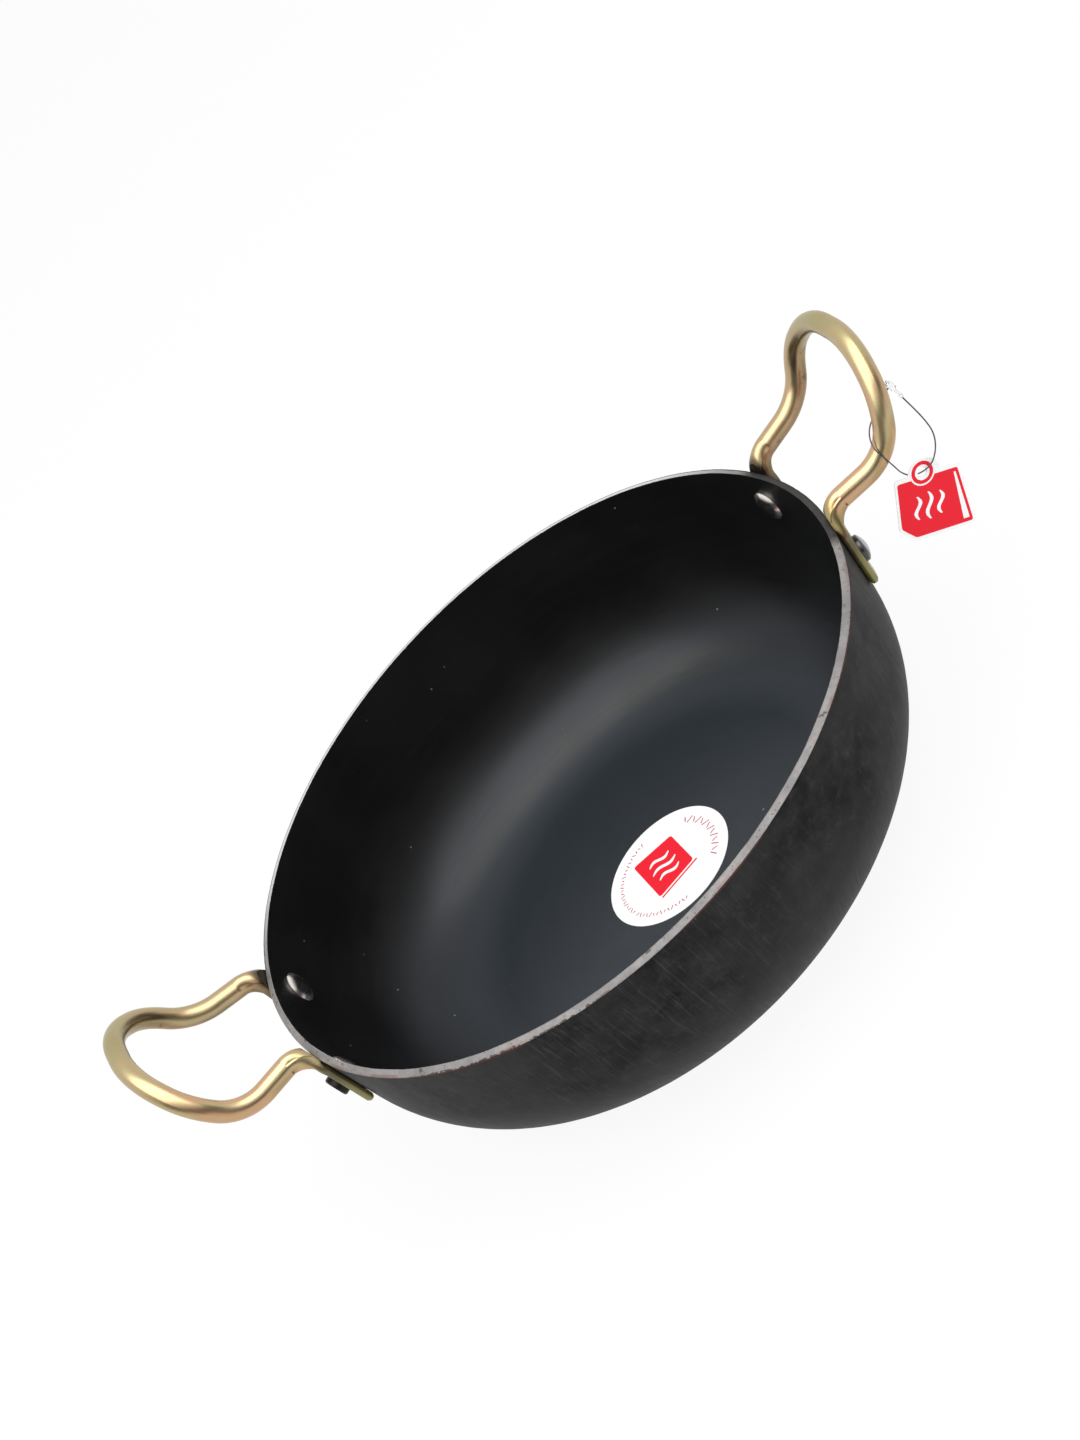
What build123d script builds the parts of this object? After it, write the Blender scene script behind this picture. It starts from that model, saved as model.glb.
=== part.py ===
from build123d import *
import os
from math import asin, cos, degrees, pi, radians, sin, sqrt, tan

# Lengths are millimetres and angles are degrees. The origin is the middle of the flat base,
# +Z is up and +X runs through the right handle. The near side of the pan is -Y.

# Bowl
rim_diameter = 250.0
bowl_height = 75.0
wall_thickness = 2.65
wall_lean = 5.8
base_corner_radius = 52.0
rim_bevel_drop = 1.15
rim_edge_rounding = 0.3

# Handle rod: over the rim, out to the knee, then up and round the sloping loop
rod_diameter = 7.5
rim_bend_rise = 3.5
rim_bend_radius = 7.6
knee_reach = 25.2
knee_rise = 4.9
knee_half_span = 33.0
knee_bend_radius = 18.8
loop_slope = 59.6
shoulder_run = 19.8
shoulder_half_span = 31.6
shoulder_bend_radius = 21.0
tip_run = 35.4
tip_half_span = 15.1
tip_bend_radius = 31.5

# Feet: the rod's ends, forged flat against the wall
foot_width = 13.0
foot_thickness = 3.3
foot_crown = 0.15
foot_end_depth = 24.8
foot_end_chamfer = 1.0
foot_flare_length = 4.5
foot_splay = 9.0
foot_seat_gap = 0.05

# Rivets
rivet_angle = 13.8
rivet_depth = 14.2
shank_diameter = 5.0
shank_clearance = 0.08
inner_head_diameter = 12.4
inner_head_height = 2.4
inner_head_clearance = 0.02
round_head_diameter = 9.8
round_head_height = 2.8
round_head_edge_height = 1.1
flat_head_diameter = 8.6
flat_head_height = 2.1
head_edge_height = 0.5

# Paper label on the floor of the bowl
label_diameter = 51.0
label_thickness = 0.15
label_offset_x = 3.1
label_offset_y = 3.1

# Hang tag: a card with an ear, on a locking loop of thread round the rod
tag_top_width = 24.0
tag_bottom_width = 28.6
tag_height = 23.0
tag_thickness = 0.3
tag_corner_radius = 1.2
tag_cut_width = 5.6
tag_cut_height = 4.8
tag_ear_radius = 6.1
tag_ear_shift = 0.7
tag_ear_drop = 1.3
tag_hole_diameter = 3.2
tag_hole_from_left = 10.4
tag_hole_rise = 0.35
tag_tilt = 31.5
thread_diameter = 0.5
neck_length = 4.2
neck_diameter = 1.0
neck_collar_diameter = 1.4
neck_collar_length = 1.0
lock_width = 2.6
lock_depth = 2.2
lock_height = 3.0
lock_rounding = 0.5
lock_nub_diameter = 0.9
lock_nub_height = 0.8

# Route of the thread: down from the lock, through the card's hole to its back, forward past
# its edge and in front of the rod, over it and back behind it into the side of the lock
thread_route = [
    (166.3, -28.9, 88.9), (166.7, -29.6, 83.6), (166.9, -30.4, 77.8), (166.3, -31.5, 72.2),
    (162.8, -33.4, 68.1), (157.6, -34.6, 65.8), (151.8, -31.0, 65.7), (149.5, -31.8, 70.6),
    (148.6, -35.8, 76.4), (147.8, -37.5, 81.8), (147.3, -34.5, 86.9), (150.6, -28.9, 88.9),
    (155.6, -26.7, 90.4), (160.6, -26.8, 93.2), (165.2, -28.3, 94.7),
]

cut_overrun = 5.0

# Shares of the rim bend at which the rod is still round, half flat and nearly flat
flattening_shares = [0.0, 0.4, 0.75, 1.0]
flatness_shares = [0.0, 0.0, 0.35, 0.75]
flat_corner_share = 0.6
bend_arc_share = 0.45

rim_radius = rim_diameter / 2
rim_outer_height = bowl_height - rim_bevel_drop
rod_radius = rod_diameter / 2
lean = radians(wall_lean)


def wall_radius(height):
    """Radius of the outside of the wall at a height above the base."""
    return rim_radius - (rim_outer_height - height) * tan(lean)


def inner_wall_radius(height):
    return wall_radius(height) - wall_thickness / cos(lean)


def rivet_seat(side_x, side_y):
    """Plane on the outside of the wall at a rivet: x round the wall, y up it, z out of it."""
    angle = radians(rivet_angle)
    height = bowl_height - rivet_depth
    outward = Vector(side_x * cos(angle), side_y * sin(angle), 0)
    normal = outward * cos(lean) - Vector(0, 0, sin(lean))
    middle = outward * wall_radius(height) + Vector(0, 0, height)
    return Plane(origin=middle, x_dir=Vector(0, 0, 1).cross(outward), z_dir=normal)


rivet_seats = {
    "rivet_left_near": rivet_seat(-1, -1),
    "rivet_left_far": rivet_seat(-1, 1),
    "rivet_right_near": rivet_seat(1, -1),
    "rivet_right_far": rivet_seat(1, 1),
}
shank_hole_radius = shank_diameter / 2 + shank_clearance

# Bowl: one spun wall with a bevelled rim, drilled square to the wall for the rivets
with BuildPart() as bowl:
    with BuildSketch(Plane.XZ):
        with BuildLine():
            outside = FilletPolyline(
                (0, 0),
                (wall_radius(0), 0),
                (rim_radius, rim_outer_height),
                radius=base_corner_radius,
            )
            inside = FilletPolyline(
                (0, wall_thickness),
                (inner_wall_radius(wall_thickness), wall_thickness),
                (inner_wall_radius(bowl_height), bowl_height),
                radius=base_corner_radius - wall_thickness,
            )
            Line(outside @ 0, inside @ 0)
            Line(outside @ 1, inside @ 1)
        make_face()
    revolve(axis=Axis.Z)
    rim_edges = bowl.edges().filter_by(GeomType.CIRCLE).sort_by(Axis.Z)[-2:]
    fillet(rim_edges, radius=rim_edge_rounding)
    for rivet_plane in rivet_seats.values():
        with BuildSketch(rivet_plane):
            Circle(shank_hole_radius)
        extrude(amount=wall_thickness + cut_overrun, both=True, mode=Mode.SUBTRACT)
bowl.part.label = "bowl"

# Right handle: its +Y half is bent from the rod, then mirrored
grip_seat = rivet_seats["rivet_right_far"]
foot_middle = foot_seat_gap + foot_thickness / 2 - foot_crown
splay = radians(foot_splay)
slope = radians(loop_slope)


def on_foot(distance):
    """Point on the foot's middle line at a distance up the wall from the rivet."""
    return Vector(grip_seat.from_local_coords((-distance * tan(splay), distance, foot_middle)))


knee_x = rim_radius + knee_reach
knee_z = bowl_height + knee_rise
foot_end = on_foot(-(foot_end_depth - rivet_depth) / cos(lean))
rim_corner = on_foot((rivet_depth + rim_bend_rise) / cos(lean))
knee = Vector(knee_x, knee_half_span, knee_z)
shoulder_x = knee_x + shoulder_run * cos(slope)
shoulder = Vector(shoulder_x, shoulder_half_span, knee_z + shoulder_run * sin(slope))
tip_x = knee_x + tip_run * cos(slope)
tip_z = knee_z + tip_run * sin(slope)
tip = Vector(tip_x, tip_half_span, tip_z)
loop_top = Vector(tip_x, 0, tip_z)

to_knee = (knee - rim_corner).normalized()
to_foot = (foot_end - rim_corner).normalized()
rim_bend_run = rim_bend_radius / tan(radians(to_knee.get_angle(to_foot)) / 2)
leg_start = rim_corner + to_knee * rim_bend_run
foot_start = rim_corner + to_foot * rim_bend_run
plate_start = foot_start + to_foot * foot_flare_length
chamfer_start = foot_end - to_foot * foot_end_chamfer


def rod_outline(flatness, chamfer):
    """Four arcs round the rod, between round (0) and forged flat (1), less a chamfer all round."""
    half_width = rod_radius + (foot_width / 2 - rod_radius) * flatness - chamfer
    half_thickness = rod_radius + (foot_thickness / 2 - rod_radius) * flatness - chamfer
    round_corner = rod_radius / sqrt(2)
    flat_x = foot_width / 2 - foot_thickness / 2 * flat_corner_share
    flat_y = foot_thickness / 2 - foot_crown
    corner_x = round_corner + (flat_x - round_corner) * flatness - chamfer
    corner_y = round_corner + (flat_y - round_corner) * flatness - chamfer
    corners = [(-corner_x, -corner_y), (corner_x, -corner_y), (corner_x, corner_y), (-corner_x, corner_y)]
    middles = [(0, -half_thickness), (half_width, 0), (0, half_thickness), (-half_width, 0)]
    return list(zip(corners, middles, corners[1:] + corners[:1]))


def across_rod(point, direction):
    """Plane square to the rod, with x along the width of the foot."""
    across = grip_seat.x_dir - direction * grip_seat.x_dir.dot(direction)
    return Plane(origin=point, x_dir=across, z_dir=direction)


with BuildPart() as handle_right:
    with BuildLine() as grip_line:
        FilletPolyline(
            leg_start,
            knee,
            shoulder,
            tip,
            loop_top,
            radius=[knee_bend_radius, shoulder_bend_radius, tip_bend_radius],
        )
    with BuildSketch(across_rod(leg_start, to_knee)):
        Circle(rod_radius)
    sweep(path=grip_line.wires()[0])

    with BuildLine() as rim_bend:
        TangentArc(leg_start, foot_start, tangent=-to_knee)
    bend = rim_bend.edges()[0]
    flare = [(across_rod(bend @ share, bend % share), flatness, 0)
             for share, flatness in zip(flattening_shares, flatness_shares)]
    plate = [(across_rod(plate_start, to_foot), 1, 0), (across_rod(chamfer_start, to_foot), 1, 0)]
    end = [plate[1], (across_rod(foot_end, to_foot), 1, foot_end_chamfer / 2)]
    for stations in (flare + plate[:1], plate, end):
        for plane, flatness, chamfer in stations:
            with BuildSketch(plane):
                with BuildLine():
                    for start, middle, finish in rod_outline(flatness, chamfer):
                        ThreePointArc(start, middle, finish)
                make_face()
        loft(ruled=len(stations) == 2)

    split(bisect_by=grip_seat.offset(foot_seat_gap), keep=Keep.TOP)
    with BuildSketch(grip_seat):
        Circle(shank_hole_radius)
    extrude(amount=foot_thickness + cut_overrun, mode=Mode.SUBTRACT)
    mirror(about=Plane.XZ)
handle_right.part.label = "handle_right"

with BuildPart() as handle_left:
    mirror(handle_right.part, about=Plane.YZ)
handle_left.part.label = "handle_left"

# Rivets: a domed head inside, the shank, and a head formed on the foot outside
inner_head_radius = inner_head_diameter / 2
concave_radius = inner_wall_radius(bowl_height - rivet_depth)
head_lift = concave_radius - sqrt(concave_radius**2 - inner_head_radius**2) + inner_head_clearance
inner_seat = -(wall_thickness + head_lift)
outer_seat = foot_seat_gap + foot_thickness - foot_crown


def dome_arc(half_width, height):
    """Radius and turn of the arc from the crown of a dome to its edge."""
    radius = (half_width**2 + height**2) / (2 * height)
    return radius, degrees(asin(half_width / radius))


def make_rivet(seat, flat_head):
    shank_radius = shank_diameter / 2
    head_radius = (flat_head_diameter if flat_head else round_head_diameter) / 2
    outer_top = outer_seat + (flat_head_height if flat_head else round_head_height)
    outer_edge = outer_top - head_edge_height if flat_head else outer_seat + round_head_edge_height
    inner_top = inner_seat - inner_head_height
    inner_edge = inner_seat - head_edge_height
    with BuildPart() as rivet:
        with BuildSketch(Plane(origin=seat.origin, x_dir=seat.x_dir, z_dir=-seat.y_dir)):
            with BuildLine():
                Polyline(
                    (inner_head_radius, inner_edge),
                    (inner_head_radius, inner_seat),
                    (shank_radius, inner_seat),
                    (shank_radius, outer_seat),
                    (head_radius, outer_seat),
                    (head_radius, outer_edge),
                )
                if flat_head:
                    Line((head_radius, outer_edge), (head_radius - head_edge_height, outer_top))
                    Line((head_radius - head_edge_height, outer_top), (0, outer_top))
                else:
                    radius, turn = dome_arc(head_radius, outer_top - outer_edge)
                    JernArc((0, outer_top), (1, 0), radius, -turn)
                Line((0, outer_top), (0, inner_top))
                radius, turn = dome_arc(inner_head_radius, inner_edge - inner_top)
                JernArc((0, inner_top), (1, 0), radius, turn)
            make_face()
        revolve(axis=Axis(seat.origin, seat.z_dir))
    return rivet


rivets = {}
for name, rivet_plane in rivet_seats.items():
    rivets[name] = make_rivet(rivet_plane, flat_head="left" in name)
    rivets[name].part.label = name

# Label, flush on the floor
with BuildPart() as label_sticker:
    with BuildSketch(Plane.XY.offset(wall_thickness)):
        with Locations((label_offset_x, label_offset_y)):
            Circle(label_diameter / 2)
    extrude(amount=label_thickness)
label_sticker.part.label = "label_sticker"

# Thread: straight runs joined by tangent arcs, as large as the runs allow
thread_points = [Vector(*point) for point in thread_route]
thread_radii = []
for before, corner, after in zip(thread_points, thread_points[1:], thread_points[2:]):
    half_turn = (180 - (before - corner).get_angle(after - corner)) / 2
    shorter_run = min((before - corner).length, (after - corner).length)
    thread_radii.append(bend_arc_share * shorter_run / tan(radians(half_turn)))

with BuildPart() as tag_thread:
    with BuildLine() as thread_line:
        FilletPolyline(*thread_points, radius=thread_radii)
    with BuildSketch(Plane(origin=thread_points[0], z_dir=thread_points[1] - thread_points[0])):
        Circle(thread_diameter / 2)
    sweep(path=thread_line.wires()[0])
tag_thread.part.label = "tag_thread"
thread_length = thread_line.wires()[0].length
print("thread radii", [round(radius, 1) for radius in thread_radii])
print("thread length", round(thread_length, 1), "volume", round(tag_thread.part.volume, 3),
      "section times length", round(pi * thread_diameter**2 / 4 * thread_length, 3))

# Lock: a collared neck at the thread's start and the head that the other end snaps into
lock_plane = Plane(origin=thread_points[0], z_dir=thread_points[0] - thread_points[1])
with BuildPart() as tag_lock:
    with BuildSketch(lock_plane):
        Circle(neck_collar_diameter / 2)
    extrude(amount=neck_collar_length)
    with BuildSketch(lock_plane):
        Circle(neck_diameter / 2)
    extrude(amount=neck_length)
    with BuildSketch(lock_plane.offset(neck_length)):
        Rectangle(lock_width, lock_depth)
    extrude(amount=lock_height)
    fillet(tag_lock.edges().filter_by(GeomType.LINE), radius=lock_rounding)
    with BuildSketch(lock_plane.offset(neck_length + lock_height)):
        Circle(lock_nub_diameter / 2)
    extrude(amount=lock_nub_height)
tag_lock.part.label = "tag_lock"

# Card: its ear hangs on the thread where the route crosses it
tag_hole = (thread_points[5] + thread_points[6]) / 2
tilt = radians(tag_tilt)
tag_plane = Plane(origin=tag_hole, x_dir=(cos(tilt), 0, -sin(tilt)), z_dir=(0, -1, 0))
tag_left = -tag_hole_from_left
tag_top = -tag_hole_rise
tag_bottom = tag_top - tag_height
with BuildPart() as hang_tag:
    with BuildSketch(tag_plane) as tag_outline:
        with BuildLine():
            Polyline(
                (tag_left, tag_top),
                (tag_left + tag_top_width, tag_top),
                (tag_left + tag_bottom_width, tag_bottom),
                (tag_left + tag_cut_width, tag_bottom),
                (tag_left, tag_bottom + tag_cut_height),
                close=True,
            )
        make_face()
        fillet(tag_outline.vertices(), radius=tag_corner_radius)
        with Locations((tag_ear_shift, -tag_ear_drop)):
            Circle(tag_ear_radius)
        Circle(tag_hole_diameter / 2, mode=Mode.SUBTRACT)
    extrude(amount=tag_thickness / 2, both=True)
hang_tag.part.label = "hang_tag"

os.makedirs("parts", exist_ok=True)
export_step(bowl.part, "parts/bowl.step")
export_step(handle_right.part, "parts/handle_right.step")
export_step(handle_left.part, "parts/handle_left.step")
export_step(label_sticker.part, "parts/label_sticker.step")
export_step(tag_thread.part, "parts/tag_thread.step")
export_step(tag_lock.part, "parts/tag_lock.step")
export_step(hang_tag.part, "parts/hang_tag.step")
for name, rivet in rivets.items():
    export_step(rivet.part, f"parts/{name}.step")
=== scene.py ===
import bpy
from math import atan2, cos, hypot, pi, radians, sin, tan
from mathutils import Matrix, Vector, noise


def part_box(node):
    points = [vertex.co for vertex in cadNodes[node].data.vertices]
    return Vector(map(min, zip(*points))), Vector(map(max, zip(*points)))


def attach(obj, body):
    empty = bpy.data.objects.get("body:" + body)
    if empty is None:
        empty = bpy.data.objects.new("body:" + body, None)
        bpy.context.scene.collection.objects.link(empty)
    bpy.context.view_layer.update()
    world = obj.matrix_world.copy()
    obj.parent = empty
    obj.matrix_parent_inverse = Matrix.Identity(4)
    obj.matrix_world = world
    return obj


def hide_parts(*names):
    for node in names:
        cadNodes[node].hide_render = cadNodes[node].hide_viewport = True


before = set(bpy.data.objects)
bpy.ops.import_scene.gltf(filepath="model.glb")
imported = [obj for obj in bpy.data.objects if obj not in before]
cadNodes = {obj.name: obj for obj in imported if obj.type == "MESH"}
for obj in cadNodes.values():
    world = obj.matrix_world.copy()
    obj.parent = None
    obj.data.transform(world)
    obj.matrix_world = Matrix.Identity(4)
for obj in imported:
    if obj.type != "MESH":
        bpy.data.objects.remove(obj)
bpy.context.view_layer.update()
mm = 0.001

# Camera, as the photograph was taken: its turn round the pan, its height and its roll
cameraSet = {
    "place": (0.02814, -0.77081, 0.55083),
    "azimuth": 1.418,
    "elevation": 31.174,
    "roll": -46.511,
    "sensor": 36.0,
    "focalPixels": 2690.7,
    "photoHeight": 1440,
    "farthest": 30.0,
}


def addCamera(c):
    bpy.ops.object.camera_add(location=c["place"])
    camera = bpy.context.object
    turn = Matrix.Rotation(radians(c["azimuth"]), 4, "Z")
    tip = Matrix.Rotation(radians(90 - c["elevation"]), 4, "X")
    roll = Matrix.Rotation(radians(c["roll"]), 4, "Z")
    camera.rotation_euler = (turn @ tip @ roll).to_euler()
    camera.data.sensor_width = c["sensor"]
    camera.data.lens = c["sensor"] * c["focalPixels"] / c["photoHeight"]
    camera.data.clip_end = c["farthest"]
    bpy.context.scene.camera = camera


addCamera(cameraSet)
print("camera is set")


# Helpers for meshes: selecting in code, and finishing a piece
def startFresh():
    if bpy.context.mode != "OBJECT":
        bpy.ops.object.mode_set(mode="OBJECT")
    bpy.ops.object.select_all(action="DESELECT")


def pick(piece):
    startFresh()
    piece.select_set(True)
    bpy.context.view_layer.objects.active = piece


def finishPiece(piece, name, body, stands=()):
    pick(piece)
    bpy.ops.object.transform_apply(location=True, rotation=True, scale=True)
    piece.name = name
    piece.data.name = name
    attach(piece, body)
    if stands:
        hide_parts(*stands)
    return piece


def dress(node, material):
    # gives a CAD piece its finish
    cadNodes[node].data.materials.clear()
    cadNodes[node].data.materials.append(material)


# Helpers for materials; a cloud, specks or span in a look is what cloud, specks or ramp takes
def newMaterial(name, values):
    made = bpy.data.materials.new(name)
    made.use_nodes = True
    shader = made.node_tree.nodes["Principled BSDF"]
    for socket, value in values.items():
        shader.inputs[socket].default_value = value
    return made, made.node_tree, shader


def add(tree, kind, inputs=(), **settings):
    node = tree.nodes.new("ShaderNode" + kind)
    for key, value in settings.items():
        setattr(node, key, value)
    for socket, value in dict(inputs).items():
        if isinstance(value, bpy.types.NodeSocket):
            tree.links.new(value, node.inputs[socket])
        else:
            node.inputs[socket].default_value = value
    return node


def drive(tree, shader, sources):
    for socket, source in sources.items():
        tree.links.new(source, shader.inputs[socket])


def calc(tree, operation, a, b=0.0):
    return add(tree, "Math", {0: a, 1: b}, operation=operation).outputs[0]


def times(tree, product, *others):
    for other in others:
        product = calc(tree, "MULTIPLY", product, other)
    return product


def ramp(tree, value, start, end, low=0.0, high=1.0):
    return add(tree, "MapRange", {0: value, 1: start, 2: end, 3: low, 4: high},
               interpolation_type="SMOOTHSTEP").outputs[0]


def blend(tree, share, a, b):
    return add(tree, "Mix", {0: share, 6: a, 7: b}, data_type="RGBA").outputs[2]


def cloud(tree, where, scale, detail=2.0, rough=0.5):
    values = {"Vector": where, "Scale": scale, "Detail": detail, "Roughness": rough}
    return add(tree, "TexNoise", values).outputs[0]


def specks(tree, where, scale, size, share):
    dots = add(tree, "TexVoronoi", {"Vector": where, "Scale": scale}).outputs
    near = ramp(tree, dots["Distance"], size, size / 2)
    chosen = add(tree, "SeparateColor", {0: dots["Color"]}).outputs[0]
    return times(tree, near, calc(tree, "LESS_THAN", chosen, share))


def stretched(tree, where, scale):
    return add(tree, "Mapping", {"Vector": where, "Scale": scale}).outputs[0]


def shortened(tree, way, share):
    return add(tree, "VectorMath", {0: way, 1: (share, share, share)}, operation="MULTIPLY").outputs[0]


def moved(tree, where, step):
    return add(tree, "VectorMath", {0: where, 1: step}, operation="ADD").outputs[0]


def bump(tree, shader, height, distance, strength):
    made = add(tree, "Bump", {"Height": height, "Distance": distance, "Strength": strength})
    tree.links.new(made.outputs[0], shader.inputs["Normal"])


def roundAxis(tree):
    # place, its x, y and z, the radius from the pan's axis and the way outwards
    place = add(tree, "TexCoord").outputs["Object"]
    axes = add(tree, "SeparateXYZ", {0: place}).outputs
    flat = add(tree, "CombineXYZ", {0: axes[0], 1: axes[1]}).outputs[0]
    radius = add(tree, "VectorMath", {0: flat}, operation="LENGTH").outputs["Value"]
    outward = add(tree, "VectorMath", {0: flat}, operation="NORMALIZE").outputs[0]
    return place, axes, radius, outward


def turnedFrom(tree, outward, degrees):
    # cosine of the angle round the pan between a place and a turn from +X
    towards = (cos(radians(degrees)), sin(radians(degrees)), 0)
    return add(tree, "VectorMath", {0: outward, 1: towards}, operation="DOT_PRODUCT").outputs["Value"]


def aroundTurn(tree, outward, degrees, noneFrom, allFrom):
    # 0 outside the wider angle from that turn and 1 inside the narrower one
    return ramp(tree, turnedFrom(tree, outward, degrees), cos(radians(noneFrom)), cos(radians(allFrom)))


def streaked(tree, axes, outward, heightShare):
    # a place whose noise runs in streaks up the wall, with no seam round it
    parts = add(tree, "SeparateXYZ", {0: outward}).outputs
    rise = calc(tree, "MULTIPLY", axes[2], heightShare)
    return add(tree, "CombineXYZ", {0: parts[0], 1: parts[1], 2: rise}).outputs[0]


# Bowl: its profile is drawn and spun, then the hand-ground rim is made uneven
panSet = {
    "rimRadius": 125 * mm,
    "height": 75 * mm,
    "wall": 2.65 * mm,
    "lean": 5.8,
    "corner": 52 * mm,
    "bevelDrop": 1.15 * mm,
    "edgeRound": 0.3 * mm,
    "outerLip": (-0.25, -0.2),
    "innerLip": (0.1, -0.2),
    "outerShares": (0.3, 0.55, 0.75, 0.88, 0.95),
    "innerShares": (0.05, 0.12, 0.25, 0.45, 0.7),
    "spinSteps": 720,
    "arcSteps": 26,
    "faceSteps": 5,
    "bevelReach": 1.84 * mm,
    "bevelSlope": 0.72,
    "outsideSlope": 0.05,
    "farEdge": 0.6 * mm,
    "farFrom": 0.25,
}

# unevenness of the hand-ground rim: heights, lumps round the pan and the noise's seeds
unevenSet = {
    "depth": 3.0 * mm,
    "middle": 0.6,
    "wave": 0.10 * mm,
    "waveLumps": 14,
    "waveRiseLumps": 9,
    "waveRiseSeed": 5.0,
    "nick": 0.10 * mm,
    "nickLumps": 70,
    "nickRiseLumps": 60,
    "nickRiseShare": 0.6,
    "outerSeed": 3.0,
    "innerSeed": 8.0,
    "farLift": 0.55 * mm,
    "farLiftFade": 1.6,
}

insideLook = {
    "wallColour": (0.0064, 0.0064, 0.0066, 1),
    "cornerColour": (0.0100, 0.0115, 0.0145, 1),
    "floorColour": (0.0185, 0.0235, 0.0288, 1),
    "mottleColour": (0.015, 0.016, 0.017, 1),
    # painted highlight: the lighter colour of the turning marks on the far corner's band
    "arcHighlightColour": (0.040, 0.041, 0.028, 1),
    "speckColour": (0.24, 0.22, 0.18, 1),
    "wallTint": (1, 1, 1, 1),
    "cornerTint": (0.90, 0.94, 1.0, 1),
    "cornerSpan": (116 * mm, 98 * mm),
    "floorSpan": (98 * mm, 79 * mm),
    "bandStartSpan": (88 * mm, 96 * mm),
    "bandEndSpan": (103 * mm, 96 * mm),
    "mottle": (28, 3),
    "mottleSpan": (0.35, 0.7, 0.0, 0.3),
    "arcHighlightTurn": 82.0,
    "arcHighlightTurnSpan": (0.55, 0.95),
    "arcDrift": 0.012,
    "arcs": (330, 3, 0.6),
    "arcBandSpan": (0.35, 0.7, 0.25, 0.7),
    "arcFaintSpan": (0.5, 0.8, 0.0, 0.22),
    "fineArcs": (1300, 2),
    "groups": (24, 1),
    "groupSpan": (0.45, 0.6),
    "dots": (100, 0.05, 0.28),
    "gritStretch": (1.0, 0.45, 0.6),
    "grit": (210, 0.07, 0.16),
    "speckShare": 0.8,
    "roughSpan": (0.3, 0.7, 0.30, 0.37),
    "arcRoughSpan": (0.3, 0.7, -0.03, 0.03),
    "specular": 0.25,
    "specularSpan": (0.0, 1.0, 0.16, 0.32),
    "relief": (0.01 * mm, 0.35),
}


def insideBlack(s):
    made, tree, shader = newMaterial("satinBlack", {"Specular IOR Level": s["specular"]})
    place, axes, radius, outward = roundAxis(tree)
    mottle = cloud(tree, place, *s["mottle"])
    inCorner = ramp(tree, radius, *s["cornerSpan"])
    base = blend(tree, inCorner, s["wallColour"], s["cornerColour"])
    base = blend(tree, ramp(tree, radius, *s["floorSpan"]), base, s["floorColour"])
    base = blend(tree, ramp(tree, mottle, *s["mottleSpan"]), base, s["mottleColour"])

    # faint turning marks, whose lines fade in and out round the pan; on a band of the far corner they are
    # painted lighter, a painted highlight where the corner's sheen falls
    upWall = add(tree, "CombineXYZ", {2: calc(tree, "ADD", radius, axes[2])}).outputs[0]
    turned = moved(tree, shortened(tree, outward, s["arcDrift"]), upWall)
    arcs = cloud(tree, turned, *s["arcs"])
    onBand = times(tree, ramp(tree, radius, *s["bandStartSpan"]), ramp(tree, radius, *s["bandEndSpan"]))
    farHighlight = ramp(tree, turnedFrom(tree, outward, s["arcHighlightTurn"]), *s["arcHighlightTurnSpan"])
    paintedArcHighlight = times(tree, onBand, farHighlight, ramp(tree, arcs, *s["arcBandSpan"]))
    base = blend(tree, paintedArcHighlight, base, s["arcHighlightColour"])
    base = blend(tree, ramp(tree, arcs, *s["arcFaintSpan"]), base, s["mottleColour"])

    # single specks all over, and finer grit in groups
    inGroups = ramp(tree, cloud(tree, place, *s["groups"]), *s["groupSpan"])
    grit = specks(tree, stretched(tree, place, s["gritStretch"]), *s["grit"])
    marks = calc(tree, "MAXIMUM", specks(tree, place, *s["dots"]), times(tree, grit, inGroups))
    base = blend(tree, times(tree, marks, s["speckShare"]), base, s["speckColour"])

    arcRough = ramp(tree, arcs, *s["arcRoughSpan"])
    drive(tree, shader, {
        "Base Color": base,
        "Specular Tint": blend(tree, inCorner, s["wallTint"], s["cornerTint"]),
        "Roughness": calc(tree, "ADD", ramp(tree, mottle, *s["roughSpan"]), arcRough),
        "Specular IOR Level": ramp(tree, inCorner, *s["specularSpan"]),
    })
    bump(tree, shader, cloud(tree, turned, *s["fineArcs"]), *s["relief"])
    return made


rimLook = {
    "dark": (0.188, 0.180, 0.176, 1),
    "light": (0.285, 0.274, 0.268, 1),
    # painted highlight: the light colour laid on the far side of the rim
    "far": (0.66, 0.66, 0.65, 1),
    "rust": (0.21, 0.13, 0.115, 1),
    "nick": (0.07, 0.055, 0.052, 1),
    "notch": (0.060, 0.042, 0.038, 1),
    "soot": (0.022, 0.021, 0.021, 1),
    "patches": (60, 3, 0.6),
    "patchSpan": (0.3, 0.7),
    "grain": (520, 3, 0.6),
    "grainSpan": (0.35, 0.75, 0.0, 0.5),
    "rustSpan": (0.55, 0.66, 0.0, 0.85),
    "rustWidthSpan": (123.85 * mm, 124.35 * mm),
    "smallNicks": (760, 2),
    "smallNickSpan": (0.64, 0.72, 0.0, 0.8),
    "largeNicks": (260, 2),
    "largeNickSpan": (0.68, 0.72, 0.0, 0.85),
    "notches": (420, 3, 0.6),
    "notchSpan": (0.56, 0.61),
    "notchWidthSpan": (123.45 * mm, 124.8 * mm, -0.35, 0.12),
    "notchTurns": (-122.0, 22.0, 12.0),
    "farHighlightTurn": 90.0,
    "farHighlightSpan": (0.25, 0.7, 0.0, 0.85),
    "sootTurns": (-1.0, 19.0, 15.0),
    "sootWidthSpan": (124.35 * mm, 124.05 * mm, 0.95, 0.88),
    "metallic": 0.25,
    "metallicSpan": (0.0, 1.0, 0.25, 0.0),
    "specular": 0.4,
    "specularSpan": (0.0, 1.0, 0.4, 0.08),
    "roughSpan": (0.3, 0.7, 0.42, 0.56),
    "relief": (0.1 * mm, 0.5),
}


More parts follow.
